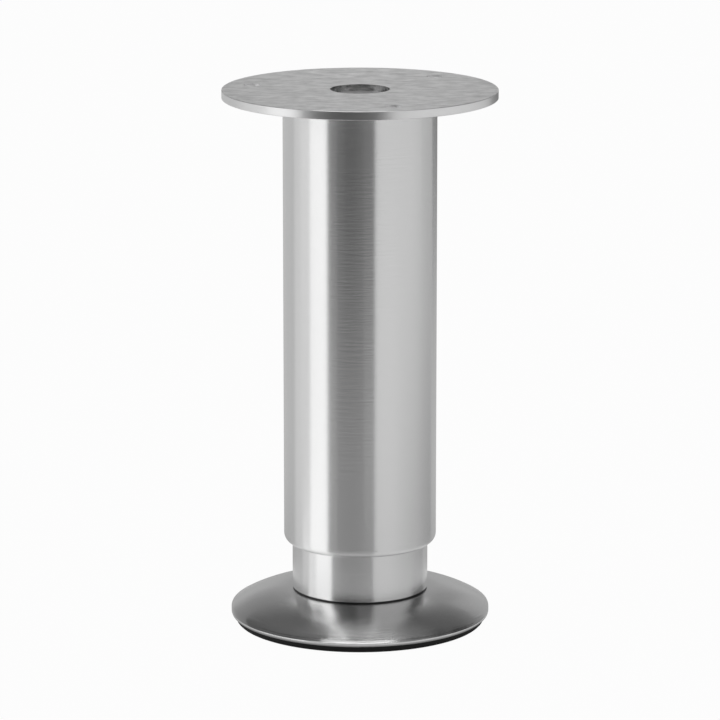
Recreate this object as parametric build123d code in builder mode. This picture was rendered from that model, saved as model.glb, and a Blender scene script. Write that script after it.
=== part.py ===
import os
from math import sqrt

from build123d import *

# Height-adjustable steel furniture leg, in millimetres, at its lowest setting.
# The origin is the middle of the floor face, with +Z up.
# Turning the foot screws the spindle out of the nut, and the sleeve comes out of the tube with it.

# Overall
leg_height = 160.0
height_travel = 20.0

# Clearances
running_clearance = 0.05
press_clearance = 0.02
lip_clearance = 0.3
stop_clearance = 0.3
end_play = 0.2

# Mounting plate
plate_diameter = 80.8
plate_thickness = 2.5
plate_edge_chamfer = 0.12
centre_hole_diameter = 17.4
screw_count = 3
screw_first_angle = 47.0
screw_edge_distance = 7.9
screw_hole_diameter = 4.8
screw_head_diameter = 8.6
screw_head_angle = 90.0

# Outer tube and the plug in its top
tube_diameter = 45.2
tube_wall = 1.2
tube_bottom = 24.1
lip_roll_radius = 2.7
plug_thickness = 6.0
spigot_height = 0.6

# Sleeve, its guide ring and its end ring
sleeve_wall = 1.0
sleeve_edge_chamfer = 0.15
guide_wall = 1.25
guide_height = 8.0
guide_rim = 1.2
end_ring_width = 5.0
end_ring_thickness = 2.0

# Domed foot and the pad under it
foot_diameter = 76.8
foot_sheet = 0.9
hem_bend_radius = 0.2
rim_band = 1.1
rim_radius = 1.3
rim_slope = 29.7
slip_ring_thickness = 0.5
slip_ring_inset = 0.2
slip_ring_width = 3.0
pad_base = 1.8
pad_inset = 0.4
pad_edge_chamfer = 0.4
pad_seat_clearance = 0.1
pad_rim_width = 6.0
pad_boss_wall = 2.5
pad_relief_depth = 0.5
pad_foot_width = 9.0

# Spindle and its nuts
thread_diameter = 10.0
thread_hole_clearance = 0.25
tip_chamfer = 1.0
nut_width = 16.0
nut_height = 8.4
head_height = 6.5
head_gap = 0.6
head_pocket_clearance = 1.0
washer_thickness = 2.0
washer_overlap = 3.0
carrier_gap = 2.0
carrier_sheet = 3.0
carrier_rim_height = 10.0
spindle_spare = 4.0

# Radii that follow from the sizes above
plate_r = plate_diameter / 2
tube_r = tube_diameter / 2
tube_bore_r = tube_r - tube_wall
guide_r = tube_bore_r - running_clearance
sleeve_r = guide_r - guide_wall
sleeve_bore_r = sleeve_r - sleeve_wall
lip_bore_r = sleeve_r + lip_clearance
plug_r = tube_bore_r - press_clearance
foot_r = foot_diameter / 2
hem_r = foot_sheet + hem_bend_radius
pad_r = foot_r - hem_r - pad_inset
thread_r = thread_diameter / 2
thread_hole_r = thread_r + thread_hole_clearance
end_bore_r = sleeve_bore_r - end_ring_width
head_pocket_r = nut_width / sqrt(3) + head_pocket_clearance

# Heights that follow, from the floor up
rim_height = pad_base + hem_r
head_bottom = pad_base + head_gap
dome_underside = head_bottom + head_height
seat_height = dome_underside + foot_sheet
sleeve_bottom = seat_height + slip_ring_thickness
end_ring_top = sleeve_bottom + end_ring_thickness
washer_bottom = end_ring_top + end_play
clamp_nut_bottom = washer_bottom + washer_thickness
guide_bottom = tube_bottom + lip_roll_radius + stop_clearance + height_travel
sleeve_top = guide_bottom + guide_height
carrier_bottom = sleeve_top + guide_rim + carrier_gap
spindle_nut_bottom = carrier_bottom + carrier_sheet
spindle_top = spindle_nut_bottom + nut_height + height_travel + spindle_spare
plate_bottom = leg_height - plate_thickness
plug_bottom = plate_bottom - plug_thickness


def dome_outline(inset):
    """Draw the rim's band and the dome up to the seat, moved in by inset, and return both ends."""
    band = Line((foot_r - inset, rim_height), (foot_r - inset, rim_height + rim_band))
    rim = JernArc(band @ 1, band % 1, rim_radius - inset, 90 - rim_slope)
    dome = TangentArc(rim @ 1, (sleeve_r, seat_height - inset), tangent=rim % 1)
    seat = Line(dome @ 1, (0, seat_height - inset))
    return band @ 0, seat @ 1


def ring_face(outer_r, inner_r):
    """Draw a flat ring between two radii."""
    Circle(outer_r)
    Circle(inner_r, mode=Mode.SUBTRACT)


# Mounting plate: the screws go up into the furniture, so their heads sink into its underside.
with BuildPart() as mounting_plate:
    with BuildSketch(Plane.XY.offset(plate_bottom)):
        ring_face(plate_r, centre_hole_diameter / 2)
    extrude(amount=plate_thickness)
    rims = mounting_plate.edges().filter_by(GeomType.CIRCLE).sort_by(SortBy.RADIUS)[-2:]
    chamfer(rims, plate_edge_chamfer)
    with Locations(Plane((0, 0, plate_bottom), x_dir=(1, 0, 0), z_dir=(0, 0, -1))):
        with PolarLocations(plate_r - screw_edge_distance, screw_count, -screw_first_angle):
            CounterSinkHole(
                screw_hole_diameter / 2,
                screw_head_diameter / 2,
                counter_sink_angle=screw_head_angle,
            )
mounting_plate.part.label = "mounting_plate"

# Outer tube: its lower edge is rolled in, then bored to let the sleeve pass.
with BuildPart() as outer_tube:
    with BuildSketch(Plane.XZ):
        with BuildLine():
            outside = Line((tube_r, plate_bottom), (tube_r, tube_bottom + lip_roll_radius))
            roll = JernArc(outside @ 1, outside % 1, lip_roll_radius, -90)
            lip = Line(roll @ 1, (roll @ 1) + (0, tube_wall))
            inner_roll = JernArc(lip @ 1, (1, 0), lip_roll_radius - tube_wall, 90)
            inside = Line(inner_roll @ 1, (tube_bore_r, plate_bottom))
            Line(inside @ 1, outside @ 0)
        make_face()
        Rectangle(lip_bore_r, plate_bottom, align=(Align.MIN, Align.MIN), mode=Mode.SUBTRACT)
    revolve(axis=Axis.Z)
outer_tube.part.label = "outer_tube"

# Top plug: welded in the tube, its spigot is set into the plate's centre hole.
with BuildPart() as top_plug:
    with BuildSketch(Plane.XY.offset(plug_bottom)):
        Circle(plug_r)
    extrude(amount=plug_thickness)
    with BuildSketch(Plane.XY.offset(plate_bottom)):
        Circle(centre_hole_diameter / 2 - press_clearance)
    extrude(amount=spigot_height)
top_plug.part.label = "top_plug"

# Nut carrier: a drawn cup, open at the top, pressed into the tube above the sleeve.
with BuildPart() as nut_carrier:
    with BuildSketch(Plane.XY.offset(carrier_bottom)):
        Circle(plug_r)
    extrude(amount=carrier_rim_height)
    offset(amount=-carrier_sheet, openings=nut_carrier.faces().sort_by(Axis.Z)[-1])
    with Locations(Plane.XY.offset(spindle_nut_bottom)):
        Hole(thread_hole_r)
nut_carrier.part.label = "nut_carrier"

# Spindle nut: welded on the carrier's floor. Its bore stands for the thread.
with BuildPart() as spindle_nut:
    with BuildSketch(Plane.XY.offset(spindle_nut_bottom)):
        RegularPolygon(nut_width / 2, 6, major_radius=False)
        Circle(thread_r + running_clearance, mode=Mode.SUBTRACT)
    extrude(amount=nut_height)
spindle_nut.part.label = "spindle_nut"

# Sleeve: the smaller tube that slides out below.
with BuildPart() as sleeve:
    with BuildSketch(Plane.XY.offset(sleeve_bottom)):
        ring_face(sleeve_r, sleeve_bore_r)
    extrude(amount=sleeve_top - sleeve_bottom)
    outer_edges = sleeve.edges().filter_by(GeomType.CIRCLE).sort_by(SortBy.RADIUS)[-2:]
    chamfer(outer_edges, sleeve_edge_chamfer)
sleeve.part.label = "sleeve"

# Guide ring: caps the sleeve's top and runs in the tube's bore. It meets the rolled lip at full height.
with BuildPart() as guide_ring:
    with BuildSketch(Plane.XY.offset(guide_bottom)):
        ring_face(guide_r, sleeve_r + press_clearance)
    extrude(amount=guide_height)
    with BuildSketch(Plane.XY.offset(sleeve_top)):
        ring_face(guide_r, sleeve_bore_r)
    extrude(amount=guide_rim)
guide_ring.part.label = "guide_ring"

# End ring: pressed into the sleeve's lower end, it turns on the spacer bush.
with BuildPart() as end_ring:
    with BuildSketch(Plane.XY.offset(sleeve_bottom)):
        ring_face(sleeve_bore_r - press_clearance, end_bore_r)
    extrude(amount=end_ring_thickness)
end_ring.part.label = "end_ring"

# Foot disc: a dome of even sheet, its rim rounded and hemmed under, with a flat seat for the sleeve.
with BuildPart() as foot_disc:
    with BuildSketch(Plane.XZ):
        with BuildLine():
            outer_rim, outer_middle = dome_outline(0)
            inner_rim, inner_middle = dome_outline(foot_sheet)
            outer_hem = JernArc(outer_rim, (0, -1), hem_r, -90)
            inner_hem = JernArc(inner_rim, (0, -1), hem_bend_radius, -90)
            Line(outer_hem @ 1, inner_hem @ 1)
            Line(outer_middle, inner_middle)
        make_face()
    revolve(axis=Axis.Z)
    with Locations(Plane.XY.offset(seat_height)):
        Hole(thread_hole_r)
foot_disc.part.label = "foot_disc"

# Foot pad: moulded to the dome's underside, hollow between its rim and its boss, and relieved underneath.
with BuildPart() as foot_pad:
    with BuildSketch(Plane.XZ):
        with BuildLine():
            dome_edge, dome_middle = dome_outline(foot_sheet + pad_seat_clearance)
            base_edge = Line(dome_edge, (dome_edge.X, 0))
            Polyline(base_edge @ 1, (0, 0), dome_middle)
        make_face()
        with Locations((pad_r, 0)):
            Rectangle(foot_r, seat_height, align=(Align.MIN, Align.MIN), mode=Mode.SUBTRACT)
        with Locations((head_pocket_r + pad_boss_wall, pad_base)):
            hollow_width = pad_r - pad_rim_width - head_pocket_r - pad_boss_wall
            Rectangle(hollow_width, seat_height, align=(Align.MIN, Align.MIN), mode=Mode.SUBTRACT)
        with Locations((0, pad_base)):
            Rectangle(head_pocket_r, seat_height, align=(Align.MIN, Align.MIN), mode=Mode.SUBTRACT)
        relief_r = pad_r - pad_foot_width
        Rectangle(relief_r, pad_relief_depth, align=(Align.MIN, Align.MIN), mode=Mode.SUBTRACT)
    revolve(axis=Axis.Z)
    floor_edge = foot_pad.edges().group_by(Axis.Z)[0].sort_by(SortBy.RADIUS)[-1]
    chamfer(floor_edge, pad_edge_chamfer)
foot_pad.part.label = "foot_pad"

# Slip ring: the dark line between the sleeve and the foot.
with BuildPart() as slip_ring:
    with BuildSketch(Plane.XY.offset(seat_height)):
        ring_face(sleeve_r - slip_ring_inset, sleeve_r - slip_ring_inset - slip_ring_width)
    extrude(amount=slip_ring_thickness)
slip_ring.part.label = "slip_ring"

# Spindle: a threaded rod with its head under the dome. The plain rod has the thread's outer size.
with BuildPart() as spindle:
    with BuildSketch(Plane.XY.offset(head_bottom)):
        RegularPolygon(nut_width / 2, 6, major_radius=False)
    extrude(amount=head_height)
    with BuildSketch(Plane.XY.offset(dome_underside)):
        Circle(thread_r)
    extrude(amount=spindle_top - dome_underside)
    chamfer(spindle.edges().sort_by(Axis.Z)[-1], tip_chamfer)
spindle.part.label = "spindle"

# Spacer bush: as tall as the slip ring and the end ring, with end play, so the clamped foot still turns.
with BuildPart() as spacer_bush:
    with BuildSketch(Plane.XY.offset(seat_height)):
        ring_face(end_bore_r - running_clearance, thread_hole_r)
    extrude(amount=washer_bottom - seat_height)
spacer_bush.part.label = "spacer_bush"

# Retaining washer: reaches over the end ring and lifts the sleeve with the foot.
with BuildPart() as retaining_washer:
    with BuildSketch(Plane.XY.offset(washer_bottom)):
        ring_face(end_bore_r + washer_overlap, thread_hole_r)
    extrude(amount=washer_thickness)
retaining_washer.part.label = "retaining_washer"

# Clamp nut: holds washer, bush and foot against the spindle's head.
with BuildPart() as clamp_nut:
    with BuildSketch(Plane.XY.offset(clamp_nut_bottom)):
        RegularPolygon(nut_width / 2, 6, major_radius=False)
        Circle(thread_r + press_clearance, mode=Mode.SUBTRACT)
    extrude(amount=nut_height)
clamp_nut.part.label = "clamp_nut"

os.makedirs("parts", exist_ok=True)
export_step(mounting_plate.part, "parts/mounting_plate.step")
export_step(outer_tube.part, "parts/outer_tube.step")
export_step(top_plug.part, "parts/top_plug.step")
export_step(nut_carrier.part, "parts/nut_carrier.step")
export_step(spindle_nut.part, "parts/spindle_nut.step")
export_step(sleeve.part, "parts/sleeve.step")
export_step(guide_ring.part, "parts/guide_ring.step")
export_step(end_ring.part, "parts/end_ring.step")
export_step(foot_disc.part, "parts/foot_disc.step")
export_step(foot_pad.part, "parts/foot_pad.step")
export_step(slip_ring.part, "parts/slip_ring.step")
export_step(spindle.part, "parts/spindle.step")
export_step(spacer_bush.part, "parts/spacer_bush.step")
export_step(retaining_washer.part, "parts/retaining_washer.step")
export_step(clamp_nut.part, "parts/clamp_nut.step")
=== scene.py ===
"""Studio scene of a height-adjustable brushed steel furniture leg.

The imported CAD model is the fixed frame. This script gives each of its pieces a finish, cuts the spindle's
thread, and sets up the floor, the light and the camera. Lengths are in metres unless a name says otherwise.
"""

import logging
import math
from dataclasses import dataclass, field
from enum import Enum

import bmesh
import bpy
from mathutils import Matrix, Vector


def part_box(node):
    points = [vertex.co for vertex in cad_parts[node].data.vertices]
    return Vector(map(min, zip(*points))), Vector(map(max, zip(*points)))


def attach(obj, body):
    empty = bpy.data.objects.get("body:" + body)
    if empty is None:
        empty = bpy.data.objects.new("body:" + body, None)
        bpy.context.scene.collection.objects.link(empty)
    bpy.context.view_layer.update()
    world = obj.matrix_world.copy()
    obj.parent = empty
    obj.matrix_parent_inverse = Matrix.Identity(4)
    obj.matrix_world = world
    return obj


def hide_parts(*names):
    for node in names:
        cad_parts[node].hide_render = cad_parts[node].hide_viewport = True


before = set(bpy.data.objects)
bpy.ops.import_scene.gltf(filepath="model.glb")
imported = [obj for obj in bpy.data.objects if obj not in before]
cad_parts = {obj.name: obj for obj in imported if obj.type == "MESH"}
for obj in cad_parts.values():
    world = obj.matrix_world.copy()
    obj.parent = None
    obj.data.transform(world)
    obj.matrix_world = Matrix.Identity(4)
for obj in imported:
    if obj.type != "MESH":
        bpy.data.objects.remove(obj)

log = logging.getLogger("furniture_leg")

MM = 0.001

# Distances, or heights in the sky, each with the brightness there, where one is white.
Stops = tuple[tuple[float, float], ...]


def linear(hex_colour: str) -> tuple[float, float, float, float]:
    """Turn an sRGB hex colour into linear RGBA.

    Args:
        hex_colour: Six hex digits with a leading hash.

    Returns:
        Red, green, blue and an alpha of one.
    """
    channels = [int(hex_colour[i : i + 2], 16) / 255 for i in (1, 3, 5)]
    red, green, blue = (c / 12.92 if c <= 0.04045 else ((c + 0.055) / 1.055) ** 2.4 for c in channels)
    return red, green, blue, 1.0


def add_node(
    tree: bpy.types.NodeTree,
    kind: str,
    settings: dict[str, object] | None = None,
    inputs: dict[str | int, object] | None = None,
) -> bpy.types.Node:
    """Add a node, set its options, and fill or link its inputs.

    Args:
        tree: The node tree that gets the node.
        kind: The node's type name, such as ShaderNodeTexNoise.
        settings: Option names and their values.
        inputs: Input names or numbers, each with a plain value or with the output socket to link.

    Returns:
        The new node.
    """
    node = tree.nodes.new(kind)
    for name, value in (settings or {}).items():
        setattr(node, name, value)
    for name, value in (inputs or {}).items():
        if isinstance(value, bpy.types.NodeSocket):
            tree.links.new(value, node.inputs[name])
        else:
            node.inputs[name].default_value = value
    return node


class Across(Enum):
    """Which way a turned surface runs across its brush lines, as signs of height and radius."""

    TUBE = (1.0, 1.0)
    DISC = (-1.0, 1.0)


@dataclass(frozen=True)
class Finish:
    """A surface finish that can be built as a material.

    Attributes:
        name: The material's name, after the real material and how its surface was made.
    """

    name: str

    def build(self) -> bpy.types.Material:
        """Make the material with its nodes.

        Returns:
            The finished material.
        """
        material = bpy.data.materials.new(self.name)
        material.use_nodes = True
        tree = material.node_tree
        tree.nodes.clear()
        shader = self.shade(tree)
        add_node(tree, "ShaderNodeOutputMaterial", inputs={"Surface": shader.outputs[0]})
        return material

    def material(self) -> bpy.types.Material:
        """Find the finish's material, which is built the first time.

        Returns:
            The material.
        """
        return bpy.data.materials.get(self.name) or self.build()

    def shade(self, tree: bpy.types.NodeTree) -> bpy.types.Node:
        """Add the finish's nodes to a tree.

        Args:
            tree: The material's node tree.

        Returns:
            The shader node.
        """
        raise NotImplementedError


@dataclass(frozen=True)
class BrushedSteel(Finish):
    """Steel brushed or turned round its axis: sharp along the lines, smeared across them.

    Real brush lines are a few hundredths of a millimetre apart, too fine to show at this size. They are drawn
    as coarse as they need to be to show, and as deep as that takes.

    Attributes:
        light: Colour of the metal on the crest of a brush line.
        dark: Colour in the groove of a brush line.
        roughness: Mean roughness.
        anisotropy: How much longer a highlight is across the brush lines than along them.
        pitch_mm: Spacing of the brush lines.
        length_mm: Length of a brush line round the axis.
        radius_mm: Typical radius of the surface, which turns the length into an angle.
        groove_mm: Depth of the brush lines.
        unevenness: How far the roughness strays from its mean along the brush lines.
        lean_share: How much of a rolled edge's lean its sheen shows, because the brush drags level over it.
        across: The direction across the lines.
    """

    light: str = "#F2F2F2"
    dark: str = "#EEEEEE"
    roughness: float = 0.26
    anisotropy: float = 0.9
    pitch_mm: float = 0.55
    length_mm: float = 7.0
    radius_mm: float = 22.5
    groove_mm: float = 0.032
    unevenness: float = 0.02
    lean_share: float = 0.35
    across: Across = Across.TUBE

    def shade(self, tree: bpy.types.NodeTree) -> bpy.types.Node:
        """Add the brushed metal's nodes to a tree.

        Args:
            tree: The material's node tree.

        Returns:
            The shader node.
        """
        height_sign, radius_sign = self.across.value
        place = add_node(tree, "ShaderNodeTexCoord").outputs["Object"]
        level = add_node(tree, "ShaderNodeVectorMath", {"operation": "MULTIPLY"}, {0: place, 1: (1, 1, 0)})
        radius = add_node(tree, "ShaderNodeVectorMath", {"operation": "LENGTH"}, {0: level.outputs[0]})
        round_axis = add_node(
            tree, "ShaderNodeVectorMath", {"operation": "NORMALIZE"}, {0: level.outputs[0]}
        )
        height = add_node(tree, "ShaderNodeSeparateXYZ", inputs={0: place})
        signed_height = add_node(
            tree, "ShaderNodeMath", {"operation": "MULTIPLY"}, {0: height.outputs["Z"], 1: height_sign}
        )
        run = add_node(
            tree,
            "ShaderNodeMath",
            {"operation": "MULTIPLY_ADD"},
            {0: radius.outputs["Value"], 1: radius_sign, 2: signed_height.outputs[0]},
        )
        lines = add_node(
            tree, "ShaderNodeMath", {"operation": "DIVIDE"}, {0: run.outputs[0], 1: self.pitch_mm * MM}
        )
        arc = add_node(
            tree,
            "ShaderNodeVectorMath",
            {"operation": "SCALE"},
            {0: round_axis.outputs[0], "Scale": self.radius_mm / self.length_mm},
        )
        stack = add_node(tree, "ShaderNodeCombineXYZ", inputs={"Z": lines.outputs[0]})
        brushed = add_node(
            tree, "ShaderNodeVectorMath", {"operation": "ADD"}, {0: arc.outputs[0], 1: stack.outputs[0]}
        )
        grain = add_node(
            tree,
            "ShaderNodeTexNoise",
            inputs={"Vector": brushed.outputs[0], "Scale": 1.0, "Detail": 2.0, "Roughness": 0.6},
        )
        colour = add_node(
            tree,
            "ShaderNodeMix",
            {"data_type": "RGBA"},
            {"Factor": grain.outputs["Fac"], 6: linear(self.dark), 7: linear(self.light)},
        )
        rough = add_node(
            tree,
            "ShaderNodeMapRange",
            inputs={
                "Value": grain.outputs["Fac"],
                "To Min": self.roughness - self.unevenness,
                "To Max": self.roughness + self.unevenness,
            },
        )
        bump = add_node(
            tree,
            "ShaderNodeBump",
            inputs={
                "Strength": 1.0,
                "Distance": self.groove_mm * MM,
                "Height": grain.outputs["Fac"],
                "Normal": self.sheen_normal(tree),
            },
        )
        # The tangent runs round the axis, and a quarter turn puts the smear across the brush lines.
        tangent = add_node(tree, "ShaderNodeTangent", {"direction_type": "RADIAL", "axis": "Z"})
        return add_node(
            tree,
            "ShaderNodeBsdfPrincipled",
            inputs={
                "Base Color": colour.outputs[2],
                "Metallic": 1.0,
                "Roughness": rough.outputs[0],
                "Anisotropic": self.anisotropy,
                "Anisotropic Rotation": 0.25,
                "Tangent": tangent.outputs[0],
                "Normal": bump.outputs[0],
            },
        )

    def sheen_normal(self, tree: bpy.types.NodeTree) -> bpy.types.NodeSocket:
        """Find the direction that the brushed surface faces.

        Args:
            tree: The material's node tree.

        Returns:
            The direction's socket.
        """
        normal = add_node(tree, "ShaderNodeNewGeometry").outputs["Normal"]
        level = add_node(
            tree, "ShaderNodeVectorMath", {"operation": "MULTIPLY"}, {0: normal, 1: (1, 1, self.lean_share)}
        )
        facing = add_node(tree, "ShaderNodeVectorMath", {"operation": "NORMALIZE"}, {0: level.outputs[0]})
        return facing.outputs[0]


@dataclass(frozen=True)
class SpunDome(BrushedSteel):
    """Steel sheet spun to a dome and brushed: its rim is bent tight, so it shows as one thin bright line.

    Attributes:
        rim_mm: Radius outside which the surface belongs to the rim.
        hem_mm: Height of the hem under the rim.
        bend_low_mm: Height where the rim's bend ends in the upright band.
        bend_high_mm: Height where the bend starts at the dome.
        top_mm: Height where the rim leaves the dome.
        edge_lean_deg: How far the dome's edge faces up.
        bend_lean_deg: How far the rim faces up just above its bend.
        rim_roughness: Roughness of the rim, which rubs shine.
    """

    roughness: float = 0.2
    anisotropy: float = 0.85
    radius_mm: float = 30.0
    across: Across = Across.DISC
    rim_mm: float = 37.72
    hem_mm: float = 2.75
    bend_low_mm: float = 2.9
    bend_high_mm: float = 3.15
    top_mm: float = 4.93
    edge_lean_deg: float = 60.3
    bend_lean_deg: float = 51.0
    rim_roughness: float = 0.13

    def shade(self, tree: bpy.types.NodeTree) -> bpy.types.Node:
        """Add the brushed metal's nodes to a tree, with a smoother rim.

        Args:
            tree: The material's node tree.

        Returns:
            The shader node.
        """
        shader = super().shade(tree)
        brushed = shader.inputs["Roughness"].links[0].from_socket
        rough = add_node(
            tree,
            "ShaderNodeMix",
            inputs={"Factor": self.rim_share(tree), 2: brushed, 3: self.rim_roughness},
        )
        tree.links.new(rough.outputs[0], shader.inputs["Roughness"])
        return shader

    def rim_share(self, tree: bpy.types.NodeTree) -> bpy.types.NodeSocket:
        """Tell the rim from the rest of the dome.

        Args:
            tree: The material's node tree.

        Returns:
            A socket that is one on the rim and zero elsewhere.
        """
        place = add_node(tree, "ShaderNodeTexCoord").outputs["Object"]
        height = add_node(tree, "ShaderNodeSeparateXYZ", inputs={0: place}).outputs["Z"]
        level = add_node(tree, "ShaderNodeVectorMath", {"operation": "MULTIPLY"}, {0: place, 1: (1, 1, 0)})
        radius = add_node(tree, "ShaderNodeVectorMath", {"operation": "LENGTH"}, {0: level.outputs[0]})
        outside = add_node(
            tree,
            "ShaderNodeMath",
            {"operation": "GREATER_THAN"},
            {0: radius.outputs["Value"], 1: self.rim_mm * MM},
        )
        above = add_node(
            tree, "ShaderNodeMath", {"operation": "GREATER_THAN"}, {0: height, 1: self.hem_mm * MM}
        )
        both = add_node(
            tree, "ShaderNodeMath", {"operation": "MULTIPLY"}, {0: outside.outputs[0], 1: above.outputs[0]}
        )
        return both.outputs[0]

    def sheen_normal(self, tree: bpy.types.NodeTree) -> bpy.types.NodeSocket:
        """Find the direction that the brushed surface faces, with a tight bend at the rim.

        Args:
            tree: The material's node tree.

        Returns:
            The direction's socket.
        """
        place = add_node(tree, "ShaderNodeTexCoord").outputs["Object"]
        height = add_node(tree, "ShaderNodeSeparateXYZ", inputs={0: place}).outputs["Z"]
        level = add_node(tree, "ShaderNodeVectorMath", {"operation": "MULTIPLY"}, {0: place, 1: (1, 1, 0)})
        outward = add_node(tree, "ShaderNodeVectorMath", {"operation": "NORMALIZE"}, {0: level.outputs[0]})
        bend = add_node(
            tree,
            "ShaderNodeMapRange",
            {"interpolation_type": "SMOOTHSTEP"},
            {
                "Value": height,
                "From Min": self.bend_low_mm * MM,
                "From Max": self.bend_high_mm * MM,
                "To Max": math.radians(self.bend_lean_deg),
            },
        )
        roll = add_node(
            tree,
            "ShaderNodeMapRange",
            inputs={
                "Value": height,
                "From Min": self.bend_high_mm * MM,
                "From Max": self.top_mm * MM,
                "To Max": math.radians(self.edge_lean_deg - self.bend_lean_deg),
            },
        )
        lean = add_node(
            tree, "ShaderNodeMath", {"operation": "ADD"}, {0: bend.outputs[0], 1: roll.outputs[0]}
        )
        along = add_node(tree, "ShaderNodeMath", {"operation": "COSINE"}, {0: lean.outputs[0]})
        up = add_node(tree, "ShaderNodeMath", {"operation": "SINE"}, {0: lean.outputs[0]})
        level_part = add_node(
            tree,
            "ShaderNodeVectorMath",
            {"operation": "SCALE"},
            {0: outward.outputs[0], "Scale": along.outputs[0]},
        )
        up_part = add_node(tree, "ShaderNodeCombineXYZ", inputs={"Z": up.outputs[0]})
        bent = add_node(
            tree,
            "ShaderNodeVectorMath",
            {"operation": "ADD"},
            {0: level_part.outputs[0], 1: up_part.outputs[0]},
        )
        facing = add_node(
            tree,
            "ShaderNodeVectorTransform",
            {"vector_type": "NORMAL", "convert_from": "OBJECT", "convert_to": "WORLD"},
            {0: bent.outputs[0]},
        )
        normal = add_node(tree, "ShaderNodeNewGeometry").outputs["Normal"]
        mixed = add_node(
            tree,
            "ShaderNodeMix",
            {"data_type": "VECTOR"},
            {"Factor": self.rim_share(tree), 4: normal, 5: facing.outputs[0]},
        )
        return mixed.outputs[1]


@dataclass(frozen=True)
class RolledPlate(Finish):
    """Mill-rolled steel plate: mottled grey faces with short rolling streaks, and a clean turned rim.

    Attributes:
        light: Colour of the brighter patches.
        dark: Colour of the duller patches.
        rim: Colour of the turned rim.
        bore: Colour of the punched centre hole's wall on its brighter patches.
        bore_painted_shade: Painted shade on the centre hole's wall: a near-black colour laid in patches by
            the mottling.
        bore_mm: Radius within which a wall belongs to the centre hole.
        face_share: How squarely up or down a surface has to face to count as a rolled face.
        face_roughness: Roughness of the rolled faces.
        rim_roughness: Roughness of the rim.
        patch_mm: Size of the mottling.
        streak_mm: Width of a rolling streak.
        streak_ratio: Length of a streak over its width.
        streak_share: How strongly the streaks show over the mottling.
        roll_deg: Direction of rolling.
        relief_mm: Depth of the mottling and the streaks.
    """

    light: str = "#FFFFFF"
    dark: str = "#BCBCBC"
    rim: str = "#EEEEEE"
    bore: str = "#E8E8E8"
    # Painted shade inside the centre hole: near black, far darker than the steel is.
    bore_painted_shade: str = "#3C3C3C"
    bore_mm: float = 12.0
    face_share: float = 0.9
    face_roughness: float = 0.4
    rim_roughness: float = 0.3
    patch_mm: float = 5.0
    streak_mm: float = 1.2
    streak_ratio: float = 4.0
    streak_share: float = 1.6
    roll_deg: float = -12.0
    relief_mm: float = 0.01

    def shade(self, tree: bpy.types.NodeTree) -> bpy.types.Node:
        """Add the plate's nodes to a tree.

        Args:
            tree: The material's node tree.

        Returns:
            The shader node.
        """
        place = add_node(tree, "ShaderNodeTexCoord").outputs["Object"]
        patches = add_node(
            tree,
            "ShaderNodeTexNoise",
            inputs={"Vector": place, "Scale": 1 / (self.patch_mm * MM), "Detail": 4.0, "Roughness": 0.6},
        )
        rolled = add_node(
            tree,
            "ShaderNodeMapping",
            inputs={
                "Vector": place,
                "Rotation": (0.0, 0.0, math.radians(self.roll_deg)),
                "Scale": (1 / self.streak_ratio, 1.0, 1.0),
            },
        )
        streaks = add_node(
            tree,
            "ShaderNodeTexNoise",
            inputs={
                "Vector": rolled.outputs[0],
                "Scale": 1 / (self.streak_mm * MM),
                "Detail": 3.0,
                "Roughness": 0.65,
            },
        )
        mottle = add_node(
            tree,
            "ShaderNodeMath",
            {"operation": "MULTIPLY_ADD"},
            {0: streaks.outputs["Fac"], 1: self.streak_share, 2: -self.streak_share / 2},
        )
        tone = add_node(
            tree,
            "ShaderNodeMath",
            {"operation": "ADD", "use_clamp": True},
            {0: patches.outputs["Fac"], 1: mottle.outputs[0]},
        )
        face_colour = add_node(
            tree,
            "ShaderNodeMix",
            {"data_type": "RGBA"},
            {"Factor": tone.outputs[0], 6: linear(self.dark), 7: linear(self.light)},
        )
        normal = add_node(tree, "ShaderNodeNewGeometry").outputs["Normal"]
        facing = add_node(tree, "ShaderNodeSeparateXYZ", inputs={0: normal})
        level = add_node(tree, "ShaderNodeMath", {"operation": "ABSOLUTE"}, {0: facing.outputs["Z"]})
        on_face = add_node(
            tree, "ShaderNodeMath", {"operation": "GREATER_THAN"}, {0: level.outputs[0], 1: self.face_share}
        )
        flat = add_node(tree, "ShaderNodeVectorMath", {"operation": "MULTIPLY"}, {0: place, 1: (1, 1, 0)})
        radius = add_node(tree, "ShaderNodeVectorMath", {"operation": "LENGTH"}, {0: flat.outputs[0]})
        outside = add_node(
            tree,
            "ShaderNodeMath",
            {"operation": "GREATER_THAN"},
            {0: radius.outputs["Value"], 1: self.bore_mm * MM},
        )
        # Painted shade: the centre hole's wall goes near black in patches, standing in for the shade inside
        # the hole.
        bore_shade_colour = add_node(
            tree,
            "ShaderNodeMix",
            {"data_type": "RGBA"},
            {"Factor": tone.outputs[0], 6: linear(self.bore_painted_shade), 7: linear(self.bore)},
        )
        wall_colour = add_node(
            tree,
            "ShaderNodeMix",
            {"data_type": "RGBA"},
            {"Factor": outside.outputs[0], 6: bore_shade_colour.outputs[2], 7: linear(self.rim)},
        )
        colour = add_node(
            tree,
            "ShaderNodeMix",
            {"data_type": "RGBA"},
            {"Factor": on_face.outputs[0], 6: wall_colour.outputs[2], 7: face_colour.outputs[2]},
        )
        rough = add_node(
            tree,
            "ShaderNodeMapRange",
            inputs={
                "Value": on_face.outputs[0],
                "To Min": self.rim_roughness,
                "To Max": self.face_roughness,
            },
        )
        bump = add_node(
            tree,
            "ShaderNodeBump",
            inputs={"Strength": 1.0, "Distance": self.relief_mm * MM, "Height": tone.outputs[0]},
        )
        return add_node(
            tree,
            "ShaderNodeBsdfPrincipled",
            inputs={
                "Base Color": colour.outputs[2],
                "Metallic": 1.0,
                "Roughness": rough.outputs[0],
                "Normal": bump.outputs[0],
            },
        )


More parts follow.
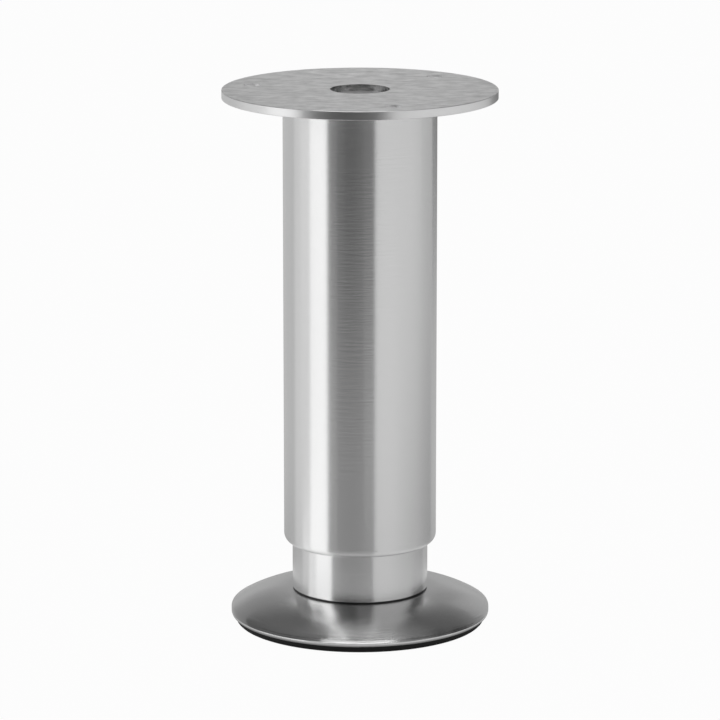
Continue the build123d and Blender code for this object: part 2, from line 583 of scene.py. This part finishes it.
@dataclass(frozen=True)
class Moulded(Finish):
    """Black moulded polymer: dull, with a fine mould grain.

    Attributes:
        light: Colour on the crest of the grain.
        dark: Colour in its hollows.
        roughness: Roughness of the surface.
        grain_mm: Size of the mould grain.
        depth_mm: Depth of the mould grain.
    """

    light: str = "#131313"
    dark: str = "#0B0B0B"
    roughness: float = 0.55
    grain_mm: float = 0.6
    depth_mm: float = 0.02

    def shade(self, tree: bpy.types.NodeTree) -> bpy.types.Node:
        """Add the polymer's nodes to a tree.

        Args:
            tree: The material's node tree.

        Returns:
            The shader node.
        """
        place = add_node(tree, "ShaderNodeTexCoord").outputs["Object"]
        grain = add_node(
            tree,
            "ShaderNodeTexNoise",
            inputs={"Vector": place, "Scale": 1 / (self.grain_mm * MM), "Detail": 2.0},
        )
        colour = add_node(
            tree,
            "ShaderNodeMix",
            {"data_type": "RGBA"},
            {"Factor": grain.outputs["Fac"], 6: linear(self.dark), 7: linear(self.light)},
        )
        bump = add_node(
            tree,
            "ShaderNodeBump",
            inputs={"Strength": 0.5, "Distance": self.depth_mm * MM, "Height": grain.outputs["Fac"]},
        )
        return add_node(
            tree,
            "ShaderNodeBsdfPrincipled",
            inputs={
                "Base Color": colour.outputs[2],
                "Roughness": self.roughness,
                "Normal": bump.outputs[0],
            },
        )


# A belt brushes the tube as it turns: upright highlights with crisp sides, smeared along the tube, and fine
# level lines.
TUBE_STEEL = BrushedSteel("stainless_tube_brushed_round")
# Spun over a form and brushed as it turns: soft dark and light fans from the middle, and a rim rubbed shiny.
FOOT_STEEL = SpunDome("stainless_dome_spun_and_brushed")
# Left as the mill rolled it: an even dull grey with cloudy patches.
PLATE_STEEL = RolledPlate("mild_steel_plate_mill_rolled")
# Left from the lathe: fine rings that catch the light.
INNER_STEEL = BrushedSteel("mild_steel_turned", pitch_mm=0.3, roughness=0.35, across=Across.DISC)
# Sawn off and left rough: the light scatters to a pale grey, with no highlight.
PLUG_STEEL = BrushedSteel(
    "mild_steel_sawn", light="#FFFFFF", dark="#D8D8D8", roughness=0.7, anisotropy=0.0, across=Across.DISC
)
# Zinc plating over machined steel: a cool grey, a little blue, with a soft shine.
ZINC_STEEL = BrushedSteel("steel_zinc_plated", light="#BFC2C6", dark="#A9ACB0", roughness=0.3)
# Rubber from a matt mould: dull, with hardly a highlight.
PAD_RUBBER = Moulded("black_rubber_moulded")
# Acetal from a smoother mould: a little shinier than the rubber.
RING_PLASTIC = Moulded("black_acetal_moulded", roughness=0.4)


@dataclass
class SubAssembly:
    """Pieces of the leg that move as one body.

    Attributes:
        body: The body's name in the frame.
        finishes: The finish of each of its nodes.
    """

    body: str
    finishes: dict[str, Finish] = field(default_factory=dict)

    def dress(self) -> None:
        """Give every node of the body its finish."""
        for node, finish in self.finishes.items():
            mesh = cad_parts[node].data
            mesh.materials.clear()
            mesh.materials.append(finish.material())
            log.info("%s: %s has %s", self.body, node, finish.name)


@dataclass
class Leg(SubAssembly):
    """The part that is screwed to the furniture: plate, main tube and what is inside it."""

    body: str = "leg"
    finishes: dict[str, Finish] = field(
        default_factory=lambda: {
            "mounting_plate": PLATE_STEEL,
            "outer_tube": TUBE_STEEL,
            "top_plug": PLUG_STEEL,
            "nut_carrier": INNER_STEEL,
            "spindle_nut": ZINC_STEEL,
        }
    )


@dataclass
class Sleeve(SubAssembly):
    """The telescoping sleeve with its guide and end rings."""

    body: str = "sleeve"
    finishes: dict[str, Finish] = field(
        default_factory=lambda: {
            "sleeve": TUBE_STEEL,
            "guide_ring": RING_PLASTIC,
            "end_ring": INNER_STEEL,
        }
    )


@dataclass
class Foot(SubAssembly):
    """The turning foot: dome, pad, slip ring and the clamped spindle with its thread.

    Attributes:
        thread_mm: Outside diameter of the spindle's thread.
        pitch_mm: Rise of the thread in one turn.
        depth_mm: Depth of the thread.
        tip_mm: Chamfer at the spindle's tip.
        head_mm: Height of the spindle's hexagon head.
        head_bevel_mm: Bevel on the head's edges.
        facets: Facets in one turn of the thread.
        sharp_deg: Angle from which an edge of the spindle stays sharp.
        spindle_finish: The spindle's finish.
        spindle_slot: Name of a material slot for the spindle; not used.
    """

    body: str = "foot"
    thread_mm: float = 10.0
    pitch_mm: float = 1.5
    depth_mm: float = 0.92
    tip_mm: float = 1.0
    head_mm: float = 6.5
    head_bevel_mm: float = 0.3
    facets: int = 36
    sharp_deg: float = 35.0
    spindle_finish: Finish = ZINC_STEEL
    spindle_slot: str = "zinc_steel"
    finishes: dict[str, Finish] = field(
        default_factory=lambda: {
            "foot_disc": FOOT_STEEL,
            "foot_pad": PAD_RUBBER,
            "slip_ring": RING_PLASTIC,
            "spacer_bush": INNER_STEEL,
            "retaining_washer": ZINC_STEEL,
            "clamp_nut": ZINC_STEEL,
        }
    )

    def dress(self) -> None:
        """Give every node its finish, and put the threaded spindle in place of the plain one."""
        super().dress()
        spindle = self.build_spindle()
        spindle.data.materials.append(self.spindle_finish.material())
        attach(spindle, self.body)
        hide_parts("spindle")
        log.info("%s: %s has %s", self.body, spindle.name, self.spindle_finish.name)

    def build_spindle(self) -> bpy.types.Object:
        """Build the spindle with its hexagon head and thread, in the place of the plain node.

        Returns:
            The spindle.
        """
        low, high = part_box("spindle")
        head_top = low[2] + self.head_mm * MM
        shape = bmesh.new()
        self.add_thread(shape, head_top, high[2])
        self.add_head(shape, high[0], low[2], head_top)
        bmesh.ops.recalc_face_normals(shape, faces=shape.faces)
        mesh = bpy.data.meshes.new("threaded_spindle")
        shape.to_mesh(mesh)
        shape.free()
        mesh.shade_smooth()
        mesh.set_sharp_from_angle(angle=math.radians(self.sharp_deg))
        spindle = bpy.data.objects.new("threaded_spindle", mesh)
        bpy.context.scene.collection.objects.link(spindle)
        return spindle

    def add_thread(self, shape: bmesh.types.BMesh, bottom: float, top: float) -> None:
        """Wind the thread as one helical skin and cut it off level at both ends.

        Args:
            shape: The mesh that gets the thread.
            bottom: Height of its lower end.
            top: Height of the tip.
        """
        crest, pitch = self.thread_mm / 2 * MM, self.pitch_mm * MM
        root = crest - self.depth_mm * MM
        # Of one pitch, a metric thread's crest takes an eighth and its root a quarter.
        profile = ((0.0, crest), (1 / 8, crest), (7 / 16, root), (11 / 16, root))
        # The skin runs past both ends, and its odd start keeps the cuts clear of its corners.
        start = bottom - 1.51 * pitch
        columns = (math.ceil((top - bottom) / pitch) + 3) * self.facets
        grid = []
        for i in range(columns + 1):
            angle = 2 * math.pi * i / self.facets
            rise = start + pitch * i / self.facets
            x, y = math.cos(angle), math.sin(angle)
            grid.append([shape.verts.new((r * x, r * y, rise + pitch * t)) for t, r in profile])
        for i in range(columns - self.facets):
            left = [*grid[i], grid[i + self.facets][0]]
            right = [*grid[i + 1], grid[i + 1 + self.facets][0]]
            for j in range(len(profile)):
                shape.faces.new((left[j], right[j], right[j + 1], left[j + 1]))
        for height, above in ((bottom, False), (top, True)):
            bmesh.ops.bisect_plane(
                shape,
                geom=[*shape.verts, *shape.edges, *shape.faces],
                plane_co=(0.0, 0.0, height),
                plane_no=(0.0, 0.0, 1.0),
                clear_inner=not above,
                clear_outer=above,
            )
        loose = [vert for vert in shape.verts if not vert.link_faces]
        bmesh.ops.delete(shape, geom=loose, context="VERTS")
        for vert in shape.verts:
            radius = math.hypot(vert.co.x, vert.co.y)
            limit = crest - max(0.0, vert.co.z - top + self.tip_mm * MM)
            if radius > limit:
                vert.co.x *= limit / radius
                vert.co.y *= limit / radius
        open_edges = [edge for edge in shape.edges if edge.is_boundary]
        bmesh.ops.holes_fill(shape, edges=open_edges, sides=0)

    def add_head(
        self, shape: bmesh.types.BMesh, corner: float, bottom: float, top: float
    ) -> None:
        """Add the hexagon head with softened edges.

        Args:
            shape: The mesh that gets the head.
            corner: Distance from the axis to a corner.
            bottom: Height of its lower face.
            top: Height of its upper face.
        """
        around = [math.radians(60 * k) for k in range(6)]
        corners = [(corner * math.cos(angle), corner * math.sin(angle)) for angle in around]
        lower = [shape.verts.new((x, y, bottom)) for x, y in corners]
        upper = [shape.verts.new((x, y, top)) for x, y in corners]
        underside = shape.faces.new(lower[::-1])
        shape.faces.new(upper)
        for k in range(6):
            after = (k + 1) % 6
            shape.faces.new((lower[k], lower[after], upper[after], upper[k]))
        # The upper edges stay sharp, because the head seats there.
        edges = [*underside.edges, *(shape.edges.get((lower[k], upper[k])) for k in range(6))]
        bmesh.ops.bevel(shape, geom=edges, offset=self.head_bevel_mm * MM, segments=2, affect="EDGES")


@dataclass(frozen=True)
class GlowingCard(Finish):
    """Glowing card of painted light and shade, whose grey goes from one value to the next with the distance
    from the leg.

    Attributes:
        stops: Distances from the leg's axis, each with the card's brightness there.
        right_stops: The same at the card's right edge, if it isn't as bright as the left one.
        margin: How far the scale of distances goes on past the last stop, as a factor.
    """

    stops: Stops = ((1.0, 0.5),)
    right_stops: Stops = ()
    margin: float = 1.05

    def shade(self, tree: bpy.types.NodeTree) -> bpy.types.Node:
        """Add the card's nodes to a tree.

        Args:
            tree: The material's node tree.

        Returns:
            The shader node.
        """
        reach = self.margin * self.stops[-1][0]
        place = add_node(tree, "ShaderNodeTexCoord").outputs["Object"]
        away = add_node(tree, "ShaderNodeVectorMath", {"operation": "LENGTH"}, {0: place})
        share = add_node(
            tree, "ShaderNodeMath", {"operation": "DIVIDE"}, {0: away.outputs["Value"], 1: reach}
        )
        # The square root spreads the first centimetres, where a ramp's steps would be too coarse.
        spread = add_node(tree, "ShaderNodeMath", {"operation": "SQRT"}, {0: share.outputs[0]})
        greys = []
        for stops in (self.stops, self.right_stops or self.stops):
            ramp = add_node(tree, "ShaderNodeValToRGB", inputs={0: spread.outputs[0]})
            elements = ramp.color_ramp.elements
            while len(elements) < len(stops):
                elements.new(1.0)
            while len(elements) > len(stops):
                elements.remove(elements[-1])
            for element, (distance, brightness) in zip(elements, stops):
                element.position = math.sqrt(distance / reach)
                element.color = (brightness, brightness, brightness, 1.0)
            greys.append(ramp.outputs[0])
        sheet = add_node(tree, "ShaderNodeUVMap")
        across = add_node(tree, "ShaderNodeSeparateXYZ", inputs={0: sheet.outputs[0]})
        grey = add_node(
            tree,
            "ShaderNodeMix",
            {"data_type": "RGBA"},
            {"Factor": across.outputs["X"], 6: greys[0], 7: greys[1]},
        )
        # Painted light and shade: the card glows at its grey instead of being lit.
        return add_node(tree, "ShaderNodeEmission", inputs={"Color": grey.outputs[2]})


@dataclass(frozen=True)
class WhiteSweep(Finish):
    """White paper sweep that the camera and reflections see as white, with the object's soft shadow.

    Attributes:
        colour: The paper's colour.
        shadow_share: How much of the real light and shadow shows.
    """

    colour: str = "#F4F4F4"
    shadow_share: float = 0.03

    def shade(self, tree: bpy.types.NodeTree) -> bpy.types.Node:
        """Add the sweep's nodes to a tree.

        Args:
            tree: The material's node tree.

        Returns:
            The shader node.
        """
        path = add_node(tree, "ShaderNodeLightPath").outputs
        shiny = add_node(
            tree,
            "ShaderNodeMath",
            {"operation": "MAXIMUM"},
            {0: path["Is Glossy Ray"], 1: path["Is Transmission Ray"]},
        )
        seen = add_node(
            tree, "ShaderNodeMath", {"operation": "MAXIMUM"}, {0: path["Is Camera Ray"], 1: shiny.outputs[0]}
        )
        share = add_node(
            tree, "ShaderNodeMath", {"operation": "MULTIPLY"}, {0: seen.outputs[0], 1: 1 - self.shadow_share}
        )
        paper = add_node(tree, "ShaderNodeBsdfDiffuse", inputs={"Color": linear(self.colour)})
        white = add_node(tree, "ShaderNodeEmission", inputs={"Color": linear("#FFFFFF"), "Strength": 1.0})
        return add_node(
            tree,
            "ShaderNodeMixShader",
            inputs={0: share.outputs[0], 1: paper.outputs[0], 2: white.outputs[0]},
        )


# Every floor card goes from the shade under the pad to the bright floor just beyond the foot.
NEAR_FLOOR: Stops = ((0.0385, 0.2), (0.041, 0.42), (0.047, 0.5), (0.0495, 0.8), (0.056, 0.85))
# Two graded cards are equally bright where they meet.
RIGHT_SEAM: Stops = ((0.07, 0.53), (0.2, 0.7), (0.5, 0.82), (1.0, 0.84))
FAR_RIGHT_SEAM: Stops = ((0.07, 0.4), (0.2, 0.53), (0.5, 0.74), (1.0, 0.88))


@dataclass(frozen=True)
class FloorCard:
    """A card on the floor, glowing with painted light and shade of the floor, that the steel reflects and the
    camera doesn't see.

    Its two edges run outward from the tube, so that each shows in the tube as a straight upright line.

    Attributes:
        name: The card's name.
        left: Where its left edge shows on the tube, as a share of the tube's radius.
        right: Where its right edge shows.
        stops: Distances from the axis and the brightness there, beyond the floor next to the foot.
        right_stops: The same at its right edge, if it isn't as bright as the left one.
        near_stops: The same on the floor next to the foot.
        tube_radius: Radius of the tube.
        height: Height above the floor.
        length: How far the card goes from the tube.
        strips: How many strips make up the card from left to right.
    """

    name: str
    left: float
    right: float
    stops: Stops
    right_stops: Stops = ()
    near_stops: Stops = NEAR_FLOOR
    tube_radius: float = 0.0226
    height: float = 0.0001
    length: float = 4.0
    strips: int = 16

    def edge_point(self, share: float, distance: float) -> tuple[float, float, float]:
        """Find a point on a line that leaves the tube where the eye sees it reflected.

        Args:
            share: Where the line shows on the tube.
            distance: Distance from the tube along the line.

        Returns:
            The point.
        """
        bearing = math.asin(share)
        x = self.tube_radius * math.sin(bearing) + distance * math.sin(2 * bearing)
        y = -self.tube_radius * math.cos(bearing) - distance * math.cos(2 * bearing)
        return x, y, self.height

    def place(self) -> bpy.types.Object:
        """Lay the card on the floor.

        Returns:
            The card.
        """
        first, last = math.asin(self.left), math.asin(self.right)
        points = []
        for i in range(self.strips + 1):
            share = math.sin(first + (last - first) * i / self.strips)
            points += [self.edge_point(share, 0.0), self.edge_point(share, self.length)]
        faces = [(2 * i, 2 * i + 1, 2 * i + 3, 2 * i + 2) for i in range(self.strips)]
        left_stops = (*self.near_stops, *self.stops)
        right_stops = (*self.near_stops, *(self.right_stops or self.stops))
        return hang_card(self.name, points, faces, left_stops, right_stops)


@dataclass(frozen=True)
class Panel:
    """An upright curved panel that the steel reflects and the camera doesn't see.

    Attributes:
        name: The panel's name.
        start_deg: Bearing of one edge, from the camera's side, positive to the right.
        end_deg: Bearing of the other edge.
        low_deg: Elevation of its lower edge.
        high_deg: Elevation of its upper edge.
        low: Brightness at its lower edge.
        high: Brightness at its upper edge.
        distance: Its distance from the leg's axis.
        strip_deg: Width of one of its flat strips, about.
    """

    name: str
    start_deg: float
    end_deg: float
    low_deg: float
    high_deg: float
    low: float
    high: float
    distance: float = 1.5
    strip_deg: float = 5.0

    def place(self) -> bpy.types.Object:
        """Stand the panel in the scene.

        Returns:
            The panel.
        """
        strips = max(2, round(abs(self.end_deg - self.start_deg) / self.strip_deg))
        bottom = self.distance * math.tan(math.radians(self.low_deg))
        top = self.distance * math.tan(math.radians(self.high_deg))
        points = []
        for i in range(strips + 1):
            bearing = math.radians(self.start_deg + (self.end_deg - self.start_deg) * i / strips)
            x, y = self.distance * math.sin(bearing), -self.distance * math.cos(bearing)
            points += [(x, y, bottom), (x, y, top)]
        faces = [(2 * i, 2 * i + 2, 2 * i + 3, 2 * i + 1) for i in range(strips)]
        near, far = math.hypot(self.distance, bottom), math.hypot(self.distance, top)
        return hang_card(self.name, points, faces, ((near, self.low), (far, self.high)))


def hang_card(
    name: str,
    points: list[tuple[float, float, float]],
    faces: list[tuple[int, ...]],
    stops: Stops,
    right_stops: Stops = (),
) -> bpy.types.Object:
    """Make a card or panel that only reflections show.

    Args:
        name: The card's name.
        points: Its corners, in pairs from its left edge to its right edge.
        faces: Its faces.
        stops: Distances from the axis and the brightness there.
        right_stops: The same at its right edge, if it isn't as bright as the left one.

    Returns:
        The card.
    """
    mesh = bpy.data.meshes.new(name)
    mesh.from_pydata(points, [], faces)
    across = mesh.uv_layers.new(name="across").uv
    last_pair = len(points) // 2 - 1
    for corner in mesh.loops:
        across[corner.index].vector = (corner.vertex_index // 2 / last_pair, 0.0)
    mesh.materials.append(GlowingCard(f"painted_light_card_{name}", stops, right_stops).material())
    card = bpy.data.objects.new(name, mesh)
    bpy.context.scene.collection.objects.link(card)
    card.visible_camera = False
    card.visible_diffuse = False
    card.visible_shadow = False
    log.info("studio: %s", name)
    return card


@dataclass(frozen=True)
class Softbox:
    """A rectangular soft lamp that faces the leg.

    Attributes:
        name: The lamp's name.
        bearing_deg: Where it stands, from the camera's side, positive to the right.
        elevation_deg: How high it stands, seen from the aim point.
        distance: How far it stands from the aim point.
        width: Its width.
        length: Its height.
        brightness: How bright its face is, where one is white.
        aim_height: Height of the point on the axis that it faces.
    """

    name: str
    bearing_deg: float
    elevation_deg: float
    distance: float
    width: float
    length: float
    brightness: float
    aim_height: float

    def place(self) -> bpy.types.Object:
        """Hang the lamp in the scene.

        Returns:
            The lamp.
        """
        lamp = bpy.data.lights.new(self.name, "AREA")
        lamp.shape = "RECTANGLE"
        lamp.size, lamp.size_y = self.width, self.length
        # A face as bright as one takes pi times its area in power.
        lamp.energy = self.brightness * math.pi * self.width * self.length
        box = bpy.data.objects.new(self.name, lamp)
        bearing, rise = math.radians(self.bearing_deg), math.radians(self.elevation_deg)
        away = Vector(
            (math.sin(bearing) * math.cos(rise), -math.cos(bearing) * math.cos(rise), math.sin(rise))
        )
        box.location = Vector((0.0, 0.0, self.aim_height)) + away * self.distance
        box.rotation_mode = "QUATERNION"
        box.rotation_quaternion = (-away).to_track_quat("-Z", "Y")
        box.visible_camera = False
        bpy.context.scene.collection.objects.link(box)
        log.info("studio: %s", self.name)
        return box


@dataclass
class Studio:
    """Floor, light and camera.

    Attributes:
        floor_size: Side of the floor.
        camera_distance: Level distance from the camera to the leg's axis.
        camera_height: Height of the camera above the floor.
        camera_pitch_deg: How far the camera looks down.
        focal_mm: Focal length.
        sensor_mm: Width of the sensor.
        sky: Heights in the sky, from the horizon at zero to straight up at one, and the brightness there.
        floor_cards: Cards on the floor, from left to right as the tube shows them.
        panels: Upright panels, bright ones and dark flags.
        softboxes: Lamps.
    """

    floor_size: float = 12.0
    camera_distance: float = 1.2476
    camera_height: float = 0.3611
    camera_pitch_deg: float = 12.739
    focal_mm: float = 216.48
    sensor_mm: float = 36.0
    sky: Stops = (
        (0.0, 0.36),
        (0.1, 0.42),
        (0.2, 0.42),
        (0.26, 0.33),
        (0.34, 0.26),
        (0.5, 0.2),
        (0.64, 0.12),
        (0.8, 0.08),
        (0.92, 0.2),
        (1.0, 0.6),
    )
    floor_cards: tuple[FloorCard, ...] = (
        FloorCard("floor_far_left_card", -1.0, -0.85, ((0.07, 0.38), (0.2, 0.52), (1.0, 0.54))),
        FloorCard("floor_left_card", -0.85, -0.76, ((0.07, 0.56), (0.2, 0.7), (1.0, 0.7))),
        FloorCard(
            "floor_inner_left_card",
            -0.76,
            -0.65,
            ((0.07, 0.95), (0.115, 0.95), (0.14, 0.6), (0.2, 0.7), (1.0, 0.7)),
        ),
        FloorCard(
            "floor_strip_card", -0.65, -0.42, ((0.07, 1.2), (0.115, 1.2), (0.2, 1.06), (1.0, 1.1))
        ),
        FloorCard(
            "floor_soft_card",
            -0.42,
            -0.3,
            ((0.07, 0.22), (0.17, 0.52), (0.32, 0.4), (0.5, 0.3), (0.75, 0.2)),
        ),
        FloorCard(
            "floor_front_left_card",
            -0.3,
            -0.2,
            ((0.07, 0.14), (0.17, 0.43), (0.32, 0.34), (0.5, 0.18), (0.75, 0.1)),
        ),
        FloorCard(
            "floor_front_card",
            -0.2,
            0.05,
            ((0.07, 0.1), (0.17, 0.45), (0.32, 0.36), (0.5, 0.12), (0.75, 0.02)),
        ),
        FloorCard(
            "floor_front_right_card",
            0.05,
            0.19,
            ((0.07, 0.1), (0.17, 0.55), (0.32, 0.47), (0.5, 0.2), (0.75, 0.02)),
        ),
        FloorCard(
            "floor_right_card",
            0.19,
            0.42,
            ((0.07, 0.54), (0.2, 0.73), (0.5, 0.82), (1.0, 0.82)),
            RIGHT_SEAM,
        ),
        FloorCard("floor_middle_right_card", 0.42, 0.66, RIGHT_SEAM, FAR_RIGHT_SEAM),
        FloorCard(
            "floor_far_right_card",
            0.66,
            0.93,
            FAR_RIGHT_SEAM,
            ((0.07, 0.3), (0.2, 0.35), (0.5, 0.42), (1.0, 0.56)),
        ),
        FloorCard("floor_edge_card", 0.93, 1.0, ((0.07, 0.4), (0.2, 0.5), (0.5, 0.47), (1.0, 0.16))),
    )
    panels: tuple[Panel, ...] = (
        Panel("left_flag", -150.0, -78.0, 31.0, 75.0, 0.1, 0.16),
        Panel("low_strip_panel", -100.0, -50.0, 8.0, 31.0, 1.2, 1.2),
        Panel("strip_panel", -78.0, -50.0, 31.0, 72.0, 1.2, 1.2),
        Panel("front_flag", -50.0, -5.0, 0.0, 58.0, 0.03, 0.01),
        Panel("front_right_flag", -5.0, 25.0, 0.0, 55.0, 0.08, 0.12),
        Panel("right_panel", 25.0, 100.0, 0.0, 60.0, 0.4, 0.32),
        Panel("right_back_flag", 102.0, 136.0, 3.0, 46.0, 0.06, 0.06),
        Panel("back_right_panel", 150.0, 166.0, 8.0, 30.0, 0.4, 0.3),
        Panel("back_panel", 172.0, 188.0, 24.0, 44.0, 0.8, 0.8, distance=0.6),
    )
    softboxes: tuple[Softbox, ...] = (
        Softbox("top_softbox", -5.0, 80.0, 1.2, 0.8, 0.5, 0.62, 0.05),
    )

    def build(self) -> None:
        """Lay the floor, set the light and place the camera."""
        self.lay_floor()
        self.light()
        self.place_camera()

    def lay_floor(self) -> None:
        """Lay a pale sweep under the leg, wide enough to fill every view."""
        half = self.floor_size / 2
        mesh = bpy.data.meshes.new("floor")
        corners = [(-half, -half, 0.0), (half, -half, 0.0), (half, half, 0.0), (-half, half, 0.0)]
        mesh.from_pydata(corners, [], [(0, 1, 2, 3)])
        mesh.materials.append(WhiteSweep("white_paper_sweep").build())
        floor = bpy.data.objects.new("floor", mesh)
        bpy.context.scene.collection.objects.link(floor)
        log.info("studio: floor")

    def light(self) -> None:
        """Light the leg with a pale horizon, a dim ceiling, a soft lamp, bright panels and dark flags."""
        world = bpy.data.worlds.new("studio")
        world.use_nodes = True
        tree = world.node_tree
        tree.nodes.clear()
        direction = add_node(tree, "ShaderNodeTexCoord").outputs["Generated"]
        rise = add_node(tree, "ShaderNodeSeparateXYZ", inputs={0: direction})
        ramp = add_node(tree, "ShaderNodeValToRGB", inputs={0: rise.outputs["Z"]})
        elements = ramp.color_ramp.elements
        while len(elements) < len(self.sky):
            elements.new(1.0)
        for element, (height, brightness) in zip(elements, self.sky):
            element.position = height
            element.color = (brightness, brightness, brightness, 1.0)
        air = add_node(tree, "ShaderNodeBackground", inputs={"Color": ramp.outputs[0]})
        add_node(tree, "ShaderNodeOutputWorld", inputs={"Surface": air.outputs[0]})
        bpy.context.scene.world = world
        for piece in (*self.floor_cards, *self.panels, *self.softboxes):
            piece.place()

    def place_camera(self) -> None:
        """Place the camera at the photograph's viewing angle."""
        lens = bpy.data.cameras.new("camera")
        lens.sensor_fit = "HORIZONTAL"
        lens.sensor_width = self.sensor_mm
        lens.lens = self.focal_mm
        camera = bpy.data.objects.new("camera", lens)
        camera.location = (0.0, -self.camera_distance, self.camera_height)
        camera.rotation_euler = (math.radians(90.0 - self.camera_pitch_deg), 0.0, 0.0)
        bpy.context.scene.collection.objects.link(camera)
        bpy.context.scene.camera = camera
        log.info("studio: camera")
        bpy.context.scene.view_settings.view_transform = "Standard"


def main() -> None:
    """Dress the leg and set up the studio."""
    logging.basicConfig(level=logging.INFO, format="%(name)s: %(message)s")
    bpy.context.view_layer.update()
    for assembly in (Leg(), Sleeve(), Foot()):
        assembly.dress()
    Studio().build()


if __name__ == "__main__":
    main()
